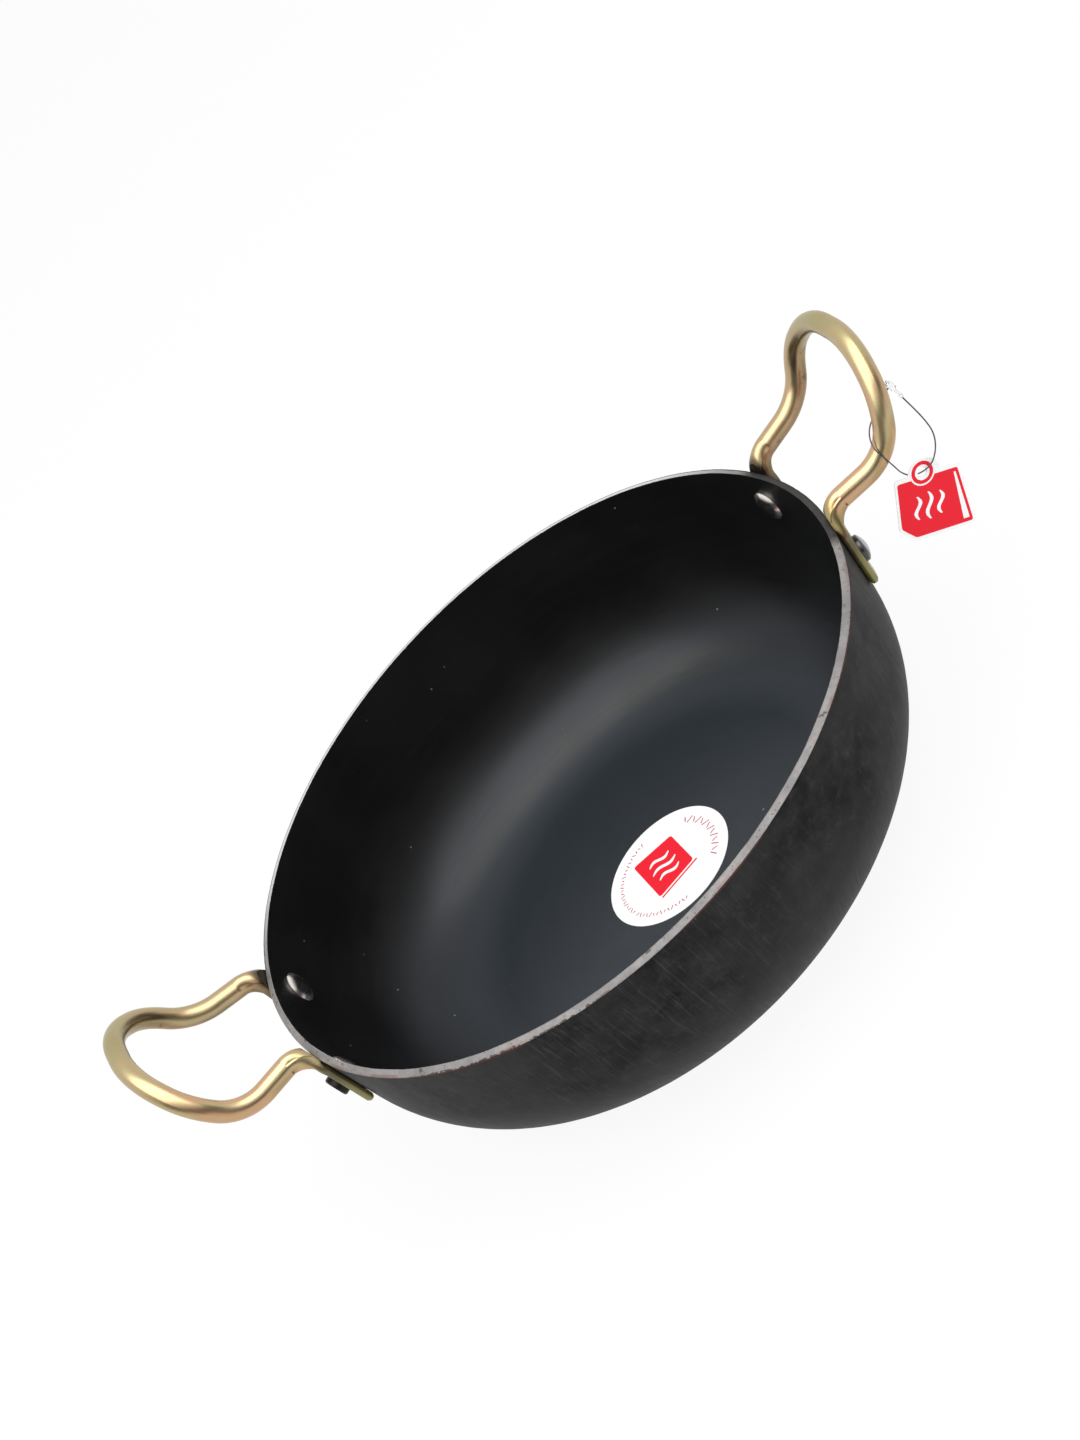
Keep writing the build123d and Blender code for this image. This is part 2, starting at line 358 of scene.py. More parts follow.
def bareRim(r):
    values = {"Metallic": r["metallic"], "Specular IOR Level": r["specular"]}
    made, tree, shader = newMaterial("bareRim", values)
    place, axes, radius, outward = roundAxis(tree)
    patches = cloud(tree, place, *r["patches"])
    grain = cloud(tree, place, *r["grain"])
    base = blend(tree, ramp(tree, patches, *r["patchSpan"]), r["dark"], r["light"])
    base = blend(tree, ramp(tree, grain, *r["grainSpan"]), base, r["dark"])
    rust = times(tree, ramp(tree, patches, *r["rustSpan"]), ramp(tree, radius, *r["rustWidthSpan"]))
    base = blend(tree, rust, base, r["rust"])
    nicks = calc(tree, "MAXIMUM", ramp(tree, cloud(tree, place, *r["smallNicks"]), *r["smallNickSpan"]),
                 ramp(tree, cloud(tree, place, *r["largeNicks"]), *r["largeNickSpan"]))
    base = blend(tree, nicks, base, r["nick"])

    # a stretch of the outer edge is ragged, with notches that reach into the bevel
    reach = ramp(tree, radius, *r["notchWidthSpan"])
    notches = ramp(tree, calc(tree, "ADD", cloud(tree, place, *r["notches"]), reach), *r["notchSpan"])
    base = blend(tree, times(tree, notches, aroundTurn(tree, outward, *r["notchTurns"])), base, r["notch"])

    # the far side is painted lighter as a painted highlight, and the stretch between the tagged handle's
    # feet is sooty
    farHighlight = ramp(tree, turnedFrom(tree, outward, r["farHighlightTurn"]), *r["farHighlightSpan"])
    base = blend(tree, farHighlight, base, r["far"])
    sooty = times(tree, aroundTurn(tree, outward, *r["sootTurns"]), ramp(tree, radius, *r["sootWidthSpan"]))
    drive(tree, shader, {
        "Base Color": blend(tree, sooty, base, r["soot"]),
        "Metallic": ramp(tree, sooty, *r["metallicSpan"]),
        "Specular IOR Level": ramp(tree, sooty, *r["specularSpan"]),
        "Roughness": ramp(tree, grain, *r["roughSpan"]),
    })
    bump(tree, shader, grain, *r["relief"])
    return made


outsideLook = {
    "dark": (0.0065, 0.0065, 0.0065, 1),
    "mid": (0.0185, 0.0185, 0.0186, 1),
    "hair": (0.050, 0.050, 0.050, 1),
    "smudge": (0.034, 0.034, 0.034, 1),
    "scuff": (0.060, 0.060, 0.060, 1),
    "mark": (0.13, 0.13, 0.125, 1),
    "rust": (0.15, 0.045, 0.032, 1),
    "blotches": (70, 4, 0.65),
    "blotchSpan": (0.34, 0.64),
    "patches": (20, 2),
    "patchSpan": (0.45, 0.7, 0.0, 0.45),
    "grain": (230, 3, 0.7),
    "grainSpan": (0.5, 0.72, 0.0, 0.5),
    "lowerSmudgeSpan": (56 * mm, 22 * mm, 0.0, 0.6),
    "hairRise": 0.42,
    "hairs": (150, 5, 0.78),
    "hairSpan": (0.50, 0.70, 0.0, 0.8),
    "hairTurn": -126.0,
    "hairTurnSpan": (0.5, 1.0, 0.3, 1.0),
    "hairHeightSpan": (12 * mm, 40 * mm, 0.7, 1.0),
    "fineRise": 0.9,
    "fine": (520, 2, 0.6),
    "fineSpan": (0.45, 0.75, 0.0, 0.6),
    "scuffSpan": (0.56, 0.72),
    "markStretch": (1.0, 1.0, 0.3),
    "marks": (75, 0.03, 0.3),
    "markShare": 0.6,
    "rustSpan": (0.50, 0.60, 0.0, 0.95),
    "rustHeightSpan": (73.1 * mm, 73.5 * mm),
    "rustTurn": -90.0,
    "rustTurnSpan": (-0.1, 0.1),
    "specular": 0.07,
    "roughSpan": (0.3, 0.7, 0.45, 0.58),
    "relief": (0.06 * mm, 0.5),
}


def brushedOutside(s):
    made, tree, shader = newMaterial("brushedOutside", {"Specular IOR Level": s["specular"]})
    place, axes, radius, outward = roundAxis(tree)
    height = axes[2]
    blotches = cloud(tree, place, *s["blotches"])
    patches = cloud(tree, place, *s["patches"])
    fine = cloud(tree, streaked(tree, axes, outward, s["fineRise"]), *s["fine"])
    base = blend(tree, ramp(tree, blotches, *s["blotchSpan"]), s["dark"], s["mid"])
    base = blend(tree, ramp(tree, patches, *s["patchSpan"]), base, s["smudge"])
    base = blend(tree, ramp(tree, cloud(tree, place, *s["grain"]), *s["grainSpan"]), base, s["smudge"])
    # the wall takes a lighter smudged colour towards the bottom
    base = blend(tree, ramp(tree, height, *s["lowerSmudgeSpan"]), base, s["smudge"])

    # hairlines from the brushing run up the wall, most of them towards the left handle
    hairs = cloud(tree, streaked(tree, axes, outward, s["hairRise"]), *s["hairs"])
    brushed = times(tree, ramp(tree, hairs, *s["hairSpan"]), ramp(tree, height, *s["hairHeightSpan"]),
                    ramp(tree, turnedFrom(tree, outward, s["hairTurn"]), *s["hairTurnSpan"]))
    base = blend(tree, brushed, base, s["hair"])

    # scuffs, single marks, and rust just under the near rim
    scuffed = times(tree, ramp(tree, blotches, *s["scuffSpan"]), ramp(tree, fine, *s["fineSpan"]))
    base = blend(tree, scuffed, base, s["scuff"])
    marks = specks(tree, stretched(tree, place, s["markStretch"]), *s["marks"])
    base = blend(tree, times(tree, marks, s["markShare"]), base, s["mark"])
    rusty = times(tree, ramp(tree, height, *s["rustHeightSpan"]), ramp(tree, patches, *s["rustSpan"]),
                  ramp(tree, turnedFrom(tree, outward, s["rustTurn"]), *s["rustTurnSpan"]))
    drive(tree, shader, {
        "Base Color": blend(tree, rusty, base, s["rust"]),
        "Roughness": ramp(tree, hairs, *s["roughSpan"]),
    })
    bump(tree, shader, fine, *s["relief"])
    return made


def panProfile(p):
    lean, wall = radians(p["lean"]), p["wall"]
    outerTop = p["height"] - p["bevelDrop"]

    def wallRadius(height):
        return p["rimRadius"] - (outerTop - height) * tan(lean)

    def corner(footRadius, floorHeight, radius):
        # the arc between the floor and the leaning wall
        middle = footRadius - radius * tan((pi / 2 - lean) / 2)
        turns = [(pi / 2 - lean) * step / p["arcSteps"] for step in range(p["arcSteps"] + 1)]
        return [(middle + radius * sin(turn), floorHeight + radius * (1 - cos(turn))) for turn in turns]

    innerRadius = p["corner"] - wall
    innerShift = wall / cos(lean)
    outside = corner(wallRadius(0), 0, p["corner"])
    inside = corner(wallRadius(wall) - innerShift, wall, innerRadius)
    outerEdge = (wallRadius(outerTop), outerTop)
    innerEdge = (wallRadius(p["height"]) - innerShift, p["height"])
    points = [(0, 0), (outside[0][0] / 2, 0)] + outside
    for share in p["outerShares"]:
        points.append(tuple(a + (b - a) * share for a, b in zip(outside[-1], outerEdge)))

    # the bevel between the two edges, each of them a little rounded
    e = p["edgeRound"]
    face = Vector(innerEdge) - Vector(outerEdge)
    down = (Vector(inside[-1]) - Vector(innerEdge)).normalized()
    points.append((outerEdge[0] - e * sin(lean), outerEdge[1] - e))
    points.append(tuple(Vector(outerEdge) + Vector(p["outerLip"]) * e))
    for step in range(p["faceSteps"] + 1):
        reach = e + (face.length - 2 * e) * step / p["faceSteps"]
        points.append(tuple(Vector(outerEdge) + face.normalized() * reach))
    points.append(tuple(Vector(innerEdge) + Vector(p["innerLip"]) * e))
    points.append(tuple(Vector(innerEdge) + down * e))
    for share in p["innerShares"]:
        points.append(tuple(a + (b - a) * share for a, b in zip(innerEdge, inside[-1])))
    points += reversed(inside)
    points += [(inside[0][0] / 2, wall), (0, wall)]
    return points


def uneven(place, scale, seed):
    turn = atan2(place.y, place.x)
    return noise.noise(Vector((cos(turn) * scale, sin(turn) * scale, seed)))


def roughenRim(mesh, p, u):
    middleRadius = p["rimRadius"] - p["wall"] * u["middle"]
    for vertex in mesh.vertices:
        place = vertex.co
        radius = hypot(place.x, place.y)
        if radius < p["wall"]:
            continue
        outward = Vector((place.x, place.y, 0)) / radius
        hold = max(0.0, 1 - (p["height"] - place.z) / u["depth"])
        seed = u["outerSeed"] if radius > middleRadius else u["innerSeed"]
        slow, fast = uneven(place, u["waveLumps"], seed), uneven(place, u["nickLumps"], seed)
        far = max(0.0, outward.y) ** 0.5
        across = min(1.0, max(0.0, (radius - p["rimRadius"]) / p["wall"] + 1))
        place.z += u["farLift"] * far * across * min(1.0, hold * u["farLiftFade"])
        place += outward * hold * (u["wave"] * slow + u["nick"] * fast)
        slowRise = u["wave"] * uneven(place, u["waveRiseLumps"], u["waveRiseSeed"])
        fastRise = u["nickRiseShare"] * u["nick"] * uneven(place, u["nickRiseLumps"], seed)
        place.z += hold * (slowRise + fastRise)


def shareFaces(mesh, p):
    # the first slot is the inside, the second the bare bevel and the third the outside
    rimSlot, outsideSlot = 1, 2
    for face in mesh.polygons:
        middle, normal = face.center, face.normal
        radius = max(middle.xy.length, p["wall"])
        outwards = (normal.x * middle.x + normal.y * middle.y) / radius
        atFarEdge = middle.y > p["farFrom"] * p["rimRadius"] and radius > p["rimRadius"] - p["farEdge"]
        facesDown = normal.z < -p["outsideSlope"]
        onWall = outwards > 0 and middle.z > p["wall"] and normal.z < p["outsideSlope"]
        if middle.z > p["height"] - p["bevelReach"] and normal.z > p["bevelSlope"]:
            face.material_index = outsideSlot if atFarEdge else rimSlot
        elif facesDown or onWall:
            face.material_index = outsideSlot
        face.use_smooth = True


def addBowl(p):
    points = panProfile(p)
    bpy.ops.mesh.primitive_plane_add(size=p["wall"], location=(0, 0, 0))
    bowl = bpy.context.object
    bpy.ops.object.mode_set(mode="EDIT")
    bpy.ops.mesh.select_all(action="SELECT")
    bpy.ops.mesh.merge(type="CENTER")
    for here, there in zip(points, points[1:]):
        step = (there[0] - here[0], 0, there[1] - here[1])
        bpy.ops.mesh.extrude_vertices_move(TRANSFORM_OT_translate={"value": step})
    bpy.ops.mesh.select_all(action="SELECT")
    bpy.ops.mesh.spin(steps=p["spinSteps"], angle=2 * pi, center=(0, 0, 0), axis=(0, 0, 1))
    bpy.ops.mesh.select_all(action="SELECT")
    bpy.ops.mesh.remove_doubles(threshold=p["edgeRound"] / 20)
    bpy.ops.mesh.normals_make_consistent(inside=False)
    bpy.ops.object.mode_set(mode="OBJECT")
    roughenRim(bowl.data, p, unevenSet)
    shareFaces(bowl.data, p)
    for material in (insideBlack(insideLook), bareRim(rimLook), brushedOutside(outsideLook)):
        bowl.data.materials.append(material)
    return finishPiece(bowl, "panBowl", "root", ["bowl"])


addBowl(panSet)
print("bowl is spun and its rim roughened")

# Handles: the plated rod, warm gold above, pinker below and darker there as painted shade, and olive at the
# forged feet
goldLook = {
    "farTop": (0.46, 0.365, 0.212, 1),
    "farUnderShade": (0.200, 0.138, 0.074, 1),
    "nearTop": (0.55, 0.43, 0.25, 1),
    "nearUnderShade": (0.42, 0.285, 0.145, 1),
    "khaki": (0.385, 0.327, 0.160, 1),
    "pink": (0.60, 0.370, 0.215, 1),
    "green": (0.47, 0.445, 0.205, 1),
    "olive": (0.235, 0.22, 0.085, 1),
    "neck": (0.36, 0.32, 0.115, 1),
    "darkBrown": (0.055, 0.036, 0.026, 1),
    "patches": (48, 2, 0.5),
    "tints": (30, 2, 0.5),
    "tintTurn": 0.03,
    "fineStretch": (0.5, 1.0, 0.7),
    "fine": (420, 3, 0.6),
    "fineSpan": (0.45, 0.8, 0.0, 0.25),
    "nearSpan": (8 * mm, -16 * mm),
    "tiltSpan": (0.3, 0.7, -0.35, 0.35),
    "underSpan": (0.25, -0.35),
    "pinkSpan": (0.44, 0.57),
    "pinkNearSpan": (0.0, 1.0, 0.35, 1.0),
    "pinkHeightSpan": (110 * mm, 99 * mm, 0.2, 0.9),
    "greenSpan": (0.50, 0.38, 0.0, 0.6),
    "greenHeightSpan": (90 * mm, 106 * mm, 0.25, 1.0),
    "tipSpan": (154 * mm, 170 * mm),
    "tipNearSpan": (0.0, 1.0, 0.9, 0.35),
    "footDrift": (0.3, 0.7, -2.5 * mm, 2.5 * mm),
    "footSpan": (74 * mm, 68 * mm),
    "footShare": 0.95,
    "footMetallicSpan": (0.0, 1.0, 1.0, 0.5),
    "brownTopSpan": (77 * mm, 71 * mm),
    "brownEndSpan": (55 * mm, 66 * mm, 0.0, 0.6),
    "lowSpan": (132.5 * mm, 127.5 * mm, 0.0, 0.6),
    "lowHeightSpan": (70 * mm, 74 * mm),
    "lowNearSpan": (0.0, 1.0, 0.2, 1.0),
    "lowSideSpan": (0.0, 9 * mm, 0.3, 1.0),
    "neckSpan": (128.5 * mm, 125.5 * mm),
    "neckHeightSpan": (72 * mm, 76 * mm, 0.0, 0.85),
    "neckNearSpan": (0.0, 1.0, 1.0, 0.1),
    "pits": (190, 0.055, 0.25),
    "pitShare": 0.4,
    "creaseStretch": (1.0, 0.6, 1.0),
    "creases": (380, 2),
    "creaseSpan": (0.60, 0.68),
    "creaseFarSpan": (0.6, 0.0, 0.0, 0.4),
    "roughSpan": (0.3, 0.75, 0.27, 0.36),
    "waves": (100, 1),
    "waveShare": 0.8,
    "fineShare": 0.014,
    "relief": (0.5 * mm, 0.35),
}


def goldPlating(g):
    made, tree, shader = newMaterial("goldPlating", {"Metallic": 1.0})
    place, axes, radius, outward = roundAxis(tree)
    side, depth, height = axes
    normal = add(tree, "TexCoord").outputs["Normal"]
    facing = add(tree, "SeparateXYZ", {0: normal}).outputs[2]
    patches = cloud(tree, place, *g["patches"])
    fine = cloud(tree, stretched(tree, place, g["fineStretch"]), *g["fine"])
    near = ramp(tree, depth, *g["nearSpan"])
    tilted = calc(tree, "ADD", facing, ramp(tree, patches, *g["tiltSpan"]))
    # undersides take a pinker tint of their own and are also darker as painted shade, far darker under the
    # far legs
    under = ramp(tree, tilted, *g["underSpan"])
    top = blend(tree, near, g["farTop"], g["nearTop"])
    low = blend(tree, near, g["farUnderShade"], g["nearUnderShade"])
    base = blend(tree, under, top, low)

    # pink and green tints change round the rod, so they run along it in streaks
    tints = cloud(tree, moved(tree, place, shortened(tree, normal, g["tintTurn"])), *g["tints"])
    pinkness = times(tree, ramp(tree, tints, *g["pinkSpan"]), ramp(tree, near, *g["pinkNearSpan"]),
                     ramp(tree, height, *g["pinkHeightSpan"]))
    base = blend(tree, pinkness, base, g["pink"])
    greenness = times(tree, ramp(tree, tints, *g["greenSpan"]), ramp(tree, height, *g["greenHeightSpan"]))
    base = blend(tree, greenness, base, g["green"])
    reach = calc(tree, "ABSOLUTE", side)
    atTip = times(tree, ramp(tree, reach, *g["tipSpan"]), ramp(tree, near, *g["tipNearSpan"]))
    base = blend(tree, atTip, base, g["khaki"])
    base = blend(tree, ramp(tree, fine, *g["fineSpan"]), base, g["khaki"])

    # forged feet: olive at their ends, dark brown where they meet the rim
    drifting = calc(tree, "ADD", height, ramp(tree, patches, *g["footDrift"]))
    onFoot = ramp(tree, drifting, *g["footSpan"])
    base = blend(tree, times(tree, onFoot, g["footShare"]), base, g["olive"])
    scale = times(tree, ramp(tree, drifting, *g["brownTopSpan"]), ramp(tree, drifting, *g["brownEndSpan"]))
    base = blend(tree, scale, base, g["darkBrown"])
    lowDown = times(tree, ramp(tree, radius, *g["lowSpan"]), ramp(tree, height, *g["lowHeightSpan"]),
                    ramp(tree, near, *g["lowNearSpan"]), ramp(tree, side, *g["lowSideSpan"]))
    base = blend(tree, lowDown, base, g["neck"])
    # dark brown where the rods come down to the rim, most on the far legs
    atNeck = times(tree, ramp(tree, radius, *g["neckSpan"]), ramp(tree, height, *g["neckHeightSpan"]),
                   ramp(tree, near, *g["neckNearSpan"]))
    base = blend(tree, atNeck, base, g["darkBrown"])

    # small pits everywhere, and creases under the far legs
    pits = times(tree, specks(tree, place, *g["pits"]), g["pitShare"])
    creases = cloud(tree, stretched(tree, place, g["creaseStretch"]), *g["creases"])
    farUnderShade = times(tree, under, ramp(tree, near, *g["creaseFarSpan"]))
    creased = times(tree, ramp(tree, creases, *g["creaseSpan"]), farUnderShade)
    drive(tree, shader, {
        "Base Color": blend(tree, calc(tree, "MAXIMUM", pits, creased), base, g["darkBrown"]),
        "Metallic": ramp(tree, onFoot, *g["footMetallicSpan"]),
        "Roughness": ramp(tree, patches, *g["roughSpan"]),
    })
    waves = times(tree, cloud(tree, place, *g["waves"]), g["waveShare"])
    bump(tree, shader, calc(tree, "ADD", waves, times(tree, fine, g["fineShare"])), *g["relief"])
    return made


gold = goldPlating(goldLook)
for side in ("left", "right"):
    dress("handle_" + side, gold)
print("handles are plated")

# Rivets: worn steel, darker towards their edges, and the left handle's outer heads black, dark steel and
# partly painted shade
rivetLooks = {
    # the left outer heads are nearly black: dark steel, and partly painted shade
    "left": {"outer": (0.030, 0.029, 0.029, 1), "outerRough": 0.42},
    "right": {"outer": (0.42, 0.42, 0.43, 1), "outerRough": 0.28},
}
rivetSet = {
    "inner": (0.15, 0.142, 0.138, 1),
    "innerLight": (0.84, 0.79, 0.74, 1),
    "edgeDark": (0.028, 0.026, 0.025, 1),
    "outerSideSpan": (122.8 * mm, 123.1 * mm),
    "polishSpan": (3.4 * mm, 5.4 * mm),
    "edgeSpan": (0.0, 1.0, 7.2 * mm, 4.5 * mm),
    "edgeDarkSpan": (-0.9 * mm, 0.0, 0.0, 0.85),
    "metallicSpan": (0.0, 1.0, 0.93, 1.0),
    "innerRough": 0.20,
    "grain": (260, 3, 0.6),
    "grainRoughSpan": (0.3, 0.7, -0.02, 0.04),
    "relief": (0.04 * mm, 0.15),
}


def rivetSteel(name, look, s):
    low, high = (Vector(corner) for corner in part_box(name))
    middle = (low + high) / 2
    turn, lean = atan2(middle.y, middle.x), radians(panSet["lean"])
    axis = (cos(turn) * cos(lean), sin(turn) * cos(lean), -sin(lean))
    made, tree, shader = newMaterial(name + "Steel", {"Metallic": 1.0})
    place, axes, radius, outward = roundAxis(tree)
    offset = moved(tree, place, tuple(-middle))
    across = add(tree, "VectorMath", {0: offset, 1: axis}, operation="CROSS_PRODUCT").outputs[0]
    spread = add(tree, "VectorMath", {0: across}, operation="LENGTH").outputs["Value"]
    outerSide = ramp(tree, radius, *s["outerSideSpan"])
    steel = blend(tree, ramp(tree, spread, *s["polishSpan"]), s["inner"], s["innerLight"])
    base = blend(tree, outerSide, steel, look["outer"])
    pastEdge = calc(tree, "SUBTRACT", spread, ramp(tree, outerSide, *s["edgeSpan"]))
    grain = cloud(tree, place, *s["grain"])
    smooth = ramp(tree, outerSide, 0.0, 1.0, s["innerRough"], look["outerRough"])
    drive(tree, shader, {
        "Base Color": blend(tree, ramp(tree, pastEdge, *s["edgeDarkSpan"]), base, s["edgeDark"]),
        "Metallic": ramp(tree, outerSide, *s["metallicSpan"]),
        "Roughness": calc(tree, "ADD", smooth, ramp(tree, grain, *s["grainRoughSpan"])),
    })
    bump(tree, shader, grain, *s["relief"])
    return made


for side, look in rivetLooks.items():
    for reach in ("near", "far"):
        name = "rivet_" + side + "_" + reach
        dress(name, rivetSteel(name, look, rivetSet))
print("rivets are finished")

# Label and hang tag: coated paper and card with a plain printed motif of three waves; the card has a faint
# painted glow
paperSet = {
    "fibres": (1400, 3, 0.6),
    "fibreSpan": (0.3, 0.7),
    "faint": 0.96,
    "roughSwing": 0.04,
    "specular": 0.2,
    "relief": (0.02 * mm, 0.25),
}


def paper(name, colour, roughness, glow=0.0):
    s = paperSet
    made, tree, shader = newMaterial(name, {"Specular IOR Level": s["specular"], "Emission Strength": glow})
    fibres = cloud(tree, add(tree, "TexCoord").outputs["Object"], *s["fibres"])
    faint = tuple(c * s["faint"] for c in colour[:3]) + (1,)
    shade = blend(tree, ramp(tree, fibres, *s["fibreSpan"]), faint, colour)
    rough = ramp(tree, fibres, *s["fibreSpan"], roughness - s["roughSwing"], roughness + s["roughSwing"])
    drive(tree, shader, {"Base Color": shade, "Emission Color": shade, "Roughness": rough})
    bump(tree, shader, fibres, *s["relief"])
    return made


labelPaper = paper("labelPaper", (0.94, 0.94, 0.94, 1), 0.6)
# the card glows faintly, a painted light that makes it read brighter
tagCard = paper("tagCard", (0.93, 0.93, 0.93, 1), 0.5, 0.03)
printRed = paper("printRed", (0.84, 0.013, 0.030, 1), 0.5)
printPink = paper("printPink", (0.50, 0.045, 0.095, 1), 0.55)
dress("label_sticker", labelPaper)
dress("hang_tag", tagCard)

cornerSteps = 5
ringSteps = 72
waveShape = {"steps": 24, "tipWidth": 0.15, "taper": 0.92, "sideShorter": 0.15}


def addShape(outline, corner=0.0):
    # a flat face with this outline, its corners rounded
    bpy.ops.mesh.primitive_circle_add(vertices=len(outline), fill_type="NGON", location=(0, 0, 0))
    shape = bpy.context.object
    for vertex, (x, y) in zip(shape.data.vertices, outline):
        vertex.co = (x, y, 0)
    if corner:
        bpy.ops.object.mode_set(mode="EDIT")
        bpy.ops.mesh.select_all(action="SELECT")
        bpy.ops.mesh.bevel(offset=corner, segments=cornerSteps, affect="VERTICES")
        bpy.ops.object.mode_set(mode="OBJECT")
    return shape


def addWave(s, x, y, length):
    # one wavy stroke, narrower towards its ends
    w = waveShape
    bpy.ops.mesh.primitive_grid_add(x_subdivisions=1, y_subdivisions=w["steps"], size=1, location=(0, 0, 0))
    stroke = bpy.context.object
    for vertex in stroke.data.vertices:
        along = vertex.co.y
        width = s["waveWidth"] * max(w["tipWidth"], cos(along * pi * w["taper"]) ** 0.5)
        vertex.co.x = vertex.co.x * width + s["waveSwing"] * sin(along * 2 * pi) + x
        vertex.co.y = along * length + y
    return stroke


def addWaves(s):
    x, y = s["waveMiddle"]
    waves = []
    for step in (-1, 0, 1):
        length = s["waveLength"] * (1 - waveShape["sideShorter"] * abs(step))
        waves.append(addWave(s, x + step * s["waveGap"], y, length))
    return joined(waves)


def joined(parts):
    startFresh()
    for part in parts:
        part.select_set(True)
    bpy.context.view_layer.objects.active = parts[0]
    bpy.ops.object.join()
    return parts[0]


def printed(flat, ink, layer, toPlace, finish):
    # thickens flat print and lays it on its paper, one layer of ink over another
    pick(flat)
    bpy.ops.object.transform_apply(location=True, rotation=True, scale=True)
    bpy.ops.object.mode_set(mode="EDIT")
    bpy.ops.mesh.select_all(action="SELECT")
    bpy.ops.mesh.normals_make_consistent(inside=False)
    bpy.ops.object.mode_set(mode="OBJECT")
    if flat.data.polygons[0].normal.z < 0:
        flat.data.flip_normals()
    solid = flat.modifiers.new("thickness", "SOLIDIFY")
    solid.thickness = ink
    solid.offset = 1
    bpy.ops.object.modifier_apply(modifier=solid.name)
    flat.data.transform(toPlace @ Matrix.Translation((0, 0, layer * ink)))
    flat.data.materials.append(finish)
    return flat


labelSet = {
    "centre": (3.1 * mm, 3.1 * mm, 2.8 * mm),
    "ink": 0.03 * mm,
    "panel": [(-14.3, -9.8), (9.6, -9.8), (7.7, 7.8), (-12.1, 7.8)],
    "stripe": [(10.4, -9.4), (11.2, -9.4), (9.2, 8.8), (8.4, 8.8)],
    "corner": 1.2 * mm,
    "waveMiddle": (-2.0 * mm, -1.2 * mm),
    "waveWidth": 1.7 * mm,
    "waveSwing": 1.1 * mm,
    "waveGap": 4.6 * mm,
    "waveLength": 11.0 * mm,
    "tickSlant": 24.0,
    "rings": [
        {"radius": 19.9 * mm, "width": 0.42 * mm, "turns": (-44, 41), "pitch": 6.4,
         "lengths": (3.3, 2.4)},
        {"radius": 20.6 * mm, "width": 0.34 * mm, "turns": (96, 196), "pitch": 4.4,
         "lengths": (1.8, 1.2, 1.5)},
        {"radius": 20.9 * mm, "width": 0.34 * mm, "turns": (200, 262), "pitch": 4.4,
         "lengths": (1.5, 1.9, 1.3)},
    ],
}


def scaled(points):
    return [(x * mm, y * mm) for x, y in points]


def addTickRing(s, ring):
    ticks = []
    first, last = ring["turns"]
    for step in range(int((last - first) / ring["pitch"]) + 1):
        turn = radians(first + step * ring["pitch"])
        length = ring["lengths"][step % len(ring["lengths"])] * mm
        slant = radians(s["tickSlant"]) * (1 if step % 2 else -1)
        place = (ring["radius"] * cos(turn), ring["radius"] * sin(turn), 0)
        bpy.ops.mesh.primitive_plane_add(size=1, location=place, rotation=(0, 0, turn + slant))
        bpy.context.object.scale = (length, ring["width"], 1)
        ticks.append(bpy.context.object)
    return joined(ticks)


def addLabelPrint(s):
    upright = Matrix.Translation(s["centre"]) @ Matrix.Rotation(-pi / 2, 4, "Z")
    panel = joined([addShape(scaled(s["panel"]), s["corner"]), addShape(scaled(s["stripe"]))])
    printed(panel, s["ink"], 0, upright, printRed)
    finishPiece(panel, "labelPanel", "root")
    strokes = printed(addWaves(s), s["ink"], 1, upright, labelPaper)
    finishPiece(strokes, "labelStrokes", "root")
    ticks = joined([addTickRing(s, ring) for ring in s["rings"]])
    printed(ticks, s["ink"], 0, Matrix.Translation(s["centre"]), printPink)
    finishPiece(ticks, "labelTicks", "root")


addLabelPrint(labelSet)

tagSet = {
    "hole": (154.7 * mm, -32.8 * mm, 65.75 * mm),
    "tilt": 31.5,
    "thickness": 0.3 * mm,
    "ink": 0.03 * mm,
    "panel": [(-9.5, -17.9), (-4.5, -22.2), (16.8, -22.2), (12.8, -1.9), (-9.5, -1.9)],
    "corner": 0.8 * mm,
    "stripe": [(13.3, -20.8), (15.5, -20.8), (12.0, -3.3), (11.3, -3.3)],
    "ringMiddle": (0.0, -0.1 * mm),
    "groundRing": (4.6 * mm, 1.75 * mm),
    "redRing": (4.0 * mm, 2.7 * mm),
    "waveMiddle": (1.4 * mm, -12.2 * mm),
    "waveWidth": 1.5 * mm,
    "waveSwing": 1.0 * mm,
    "waveGap": 4.2 * mm,
    "waveLength": 9.6 * mm,
}


def addRing(middle, outer, inner):
    # a flat ring round the card's hole
    bpy.ops.mesh.primitive_circle_add(vertices=ringSteps, radius=outer, location=(0, 0, 0))
    ring = bpy.context.object
    bpy.ops.object.mode_set(mode="EDIT")
    bpy.ops.mesh.select_all(action="SELECT")
    bpy.ops.mesh.extrude_edges_move()
    bpy.ops.transform.resize(value=(inner / outer, inner / outer, 1), center_override=(0, 0, 0))
    bpy.ops.mesh.select_all(action="SELECT")
    bpy.ops.transform.translate(value=(*middle, 0))
    bpy.ops.object.mode_set(mode="OBJECT")
    return ring


